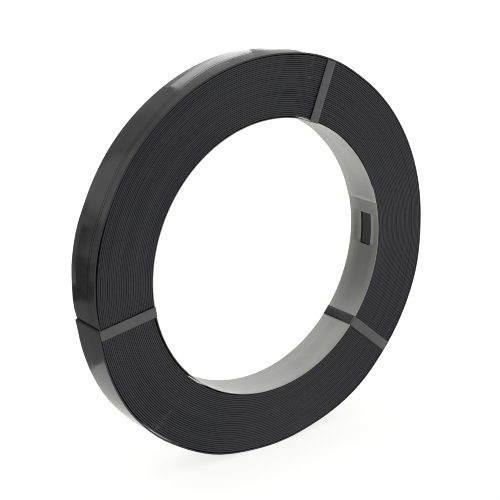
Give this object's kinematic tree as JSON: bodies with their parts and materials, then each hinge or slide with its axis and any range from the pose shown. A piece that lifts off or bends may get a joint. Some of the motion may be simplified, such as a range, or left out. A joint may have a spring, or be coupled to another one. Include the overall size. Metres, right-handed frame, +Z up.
{
  "type": "steel strapping coil",
  "caption": "Small coil of black steel strapping wound on a sheet steel liner and held by flat steel ties.",
  "frame": {"origin": "on the floor below the middle of the coil, which stands on its rim", "axes": "+Z up, Y along the coil's axis, the front end faces -Y"},
  "size_m": [0.3118, 0.0338, 0.3119],
  "materials": {
    "black_strap": "semi-gloss black paint and wax",
    "liner_steel": "dull bare sheet",
    "tie_strap": "satin grey-black"
  },
  "bodies": {
    "root": {"strap_coil": "black_strap", "bore_liner": "liner_steel", "tie_upper": "tie_strap", "tie_left": "tie_strap", "tie_right": "tie_strap"}
  },
  "joints": []
}
